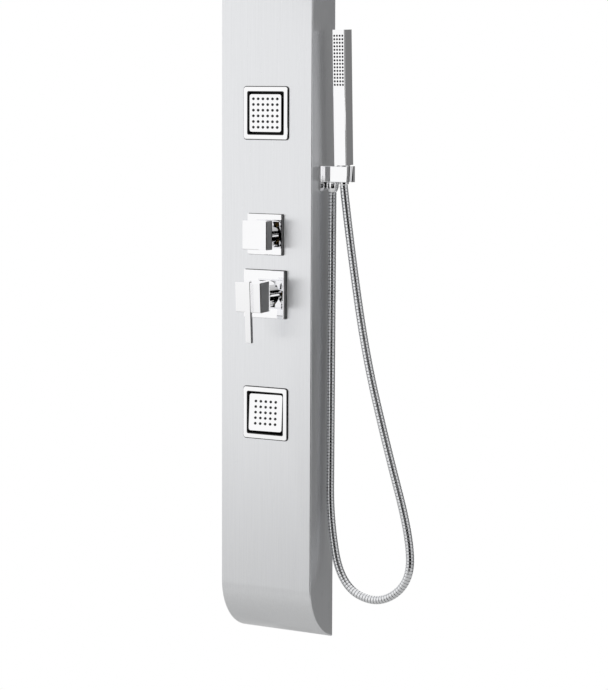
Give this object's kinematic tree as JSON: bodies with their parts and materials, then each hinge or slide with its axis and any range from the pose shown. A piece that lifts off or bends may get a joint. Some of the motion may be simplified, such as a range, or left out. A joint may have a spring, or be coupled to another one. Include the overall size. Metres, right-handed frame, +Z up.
{
  "type": "shower panel column",
  "caption": "Wall-hung steel shower column with lever mixer, diverter knob, tilting square body jets, overhead rain head and a hand shower on a hose.",
  "frame": {"origin": "centre of the four wall screws, on the plane of the wall", "axes": "+Z up; the front faces -Y, the wall lies at Y = 0; +X is to the right seen from the front"},
  "size_m": [0.3795, 0.516, 1.35],
  "materials": {
    "panel_steel": "vertical brushed stainless sheet",
    "zinc_steel": "zinc plated steel strip",
    "chrome": "bright chrome plating",
    "chromed_plastic": "chrome plated plastic",
    "cast_brass": "raw cast brass",
    "ceramic_can": "white cartridge can",
    "housing_plastic": "black moulded plastic",
    "ring_plastic": "grey friction ring",
    "nozzle_rubber": "dark soft nozzles",
    "jet_face_plastic": "satin silver spray face",
    "spray_plate": "satin silver spray plate",
    "hose_metal": "wound metal hose",
    "pipe_metal": "stainless tube"
  },
  "bodies": {
    "panel": {"panel_shell": "panel_steel", "wall_brackets": "zinc_steel", "hanger_bars": "zinc_steel", "valve_body": "cast_brass", "cartridge_nuts": "cast_brass", "ceramic_cartridges": "ceramic_can", "mixer_plate": "chrome", "valve_collars": "chrome", "diverter_plate": "chrome", "jet_bezels": "chromed_plastic", "jet_housings": "housing_plastic", "jet_nuts": "cast_brass", "outlet_holder": "chrome", "side_flange": "chrome", "tail_nuts": "cast_brass", "hose_nut_outlet": "chrome", "shower_hose": "hose_metal", "overhead_arm": "chrome", "arm_flange": "chrome", "head_socket": "chrome", "rain_pipe": "pipe_metal", "jet_pipe": "pipe_metal", "hand_pipe": "pipe_metal"},
    "mixer_fork": {"mixer_rotor": "cast_brass", "lever_pin": "zinc_steel"},
    "mixer_grip": {"mixer_stem": "cast_brass", "mixer_handle": "chrome", "mixer_lever": "chrome", "mixer_grub_screw": "zinc_steel"},
    "diverter_grip": {"diverter_spindle": "cast_brass", "diverter_knob": "chrome"},
    "upper_jet_ring": {"upper_jet_seat_ring": "ring_plastic"},
    "upper_jet": {"upper_jet_face": "jet_face_plastic", "upper_jet_nozzles": "nozzle_rubber"},
    "lower_jet_ring": {"lower_jet_seat_ring": "ring_plastic"},
    "lower_jet": {"lower_jet_face": "jet_face_plastic", "lower_jet_nozzles": "nozzle_rubber"},
    "head_ring": {"head_seat_ring": "ring_plastic"},
    "rain_head": {"rain_head_body": "chrome", "rain_head_face": "spray_plate"},
    "handset": {"hose_nut_seat": "chrome", "handset_body": "chromed_plastic", "handset_face": "spray_plate"}
  },
  "joints": [
    {"name": "mixer_turn", "type": "hinge", "parent": "panel", "child": "mixer_fork", "pos_m": [0, -0.086, -0.053], "axis": [0, 1, 0], "range_deg": [-45, 45]},
    {"name": "mixer_lift", "type": "hinge", "parent": "mixer_fork", "child": "mixer_grip", "pos_m": [0, -0.086, -0.053], "axis": [-1, 0, 0], "range_deg": [0, 25]},
    {"name": "diverter_turn", "type": "hinge", "parent": "panel", "child": "diverter_grip", "pos_m": [0, -0.086, 0.053], "axis": [0, 1, 0], "continuous": true},
    {"name": "upper_jet_turn", "type": "hinge", "parent": "panel", "child": "upper_jet_ring", "pos_m": [0, -0.06, 0.267], "axis": [0, 0, 1], "range_deg": [-10, 10]},
    {"name": "upper_jet_tilt", "type": "hinge", "parent": "upper_jet_ring", "child": "upper_jet", "pos_m": [0, -0.06, 0.267], "axis": [1, 0, 0], "range_deg": [-10, 10]},
    {"name": "lower_jet_turn", "type": "hinge", "parent": "panel", "child": "lower_jet_ring", "pos_m": [0, -0.06, -0.267], "axis": [0, 0, 1], "range_deg": [-15, 5]},
    {"name": "lower_jet_tilt", "type": "hinge", "parent": "lower_jet_ring", "child": "lower_jet", "pos_m": [0, -0.06, -0.267], "axis": [0.9962, 0.0872, 0], "range_deg": [-6.5, 13.5]},
    {"name": "head_tilt", "type": "hinge", "parent": "panel", "child": "head_ring", "pos_m": [0, -0.416, 0.5405], "axis": [1, 0, 0], "range_deg": [-15, 15]},
    {"name": "head_swing", "type": "hinge", "parent": "head_ring", "child": "rain_head", "pos_m": [0, -0.416, 0.5405], "axis": [0, 1, 0], "range_deg": [-15, 15]},
    {"name": "handset_lift", "type": "slide", "parent": "panel", "child": "handset", "axis": [0, -0.0349, 0.9994], "range_m": [0, 0.1]}
  ]
}
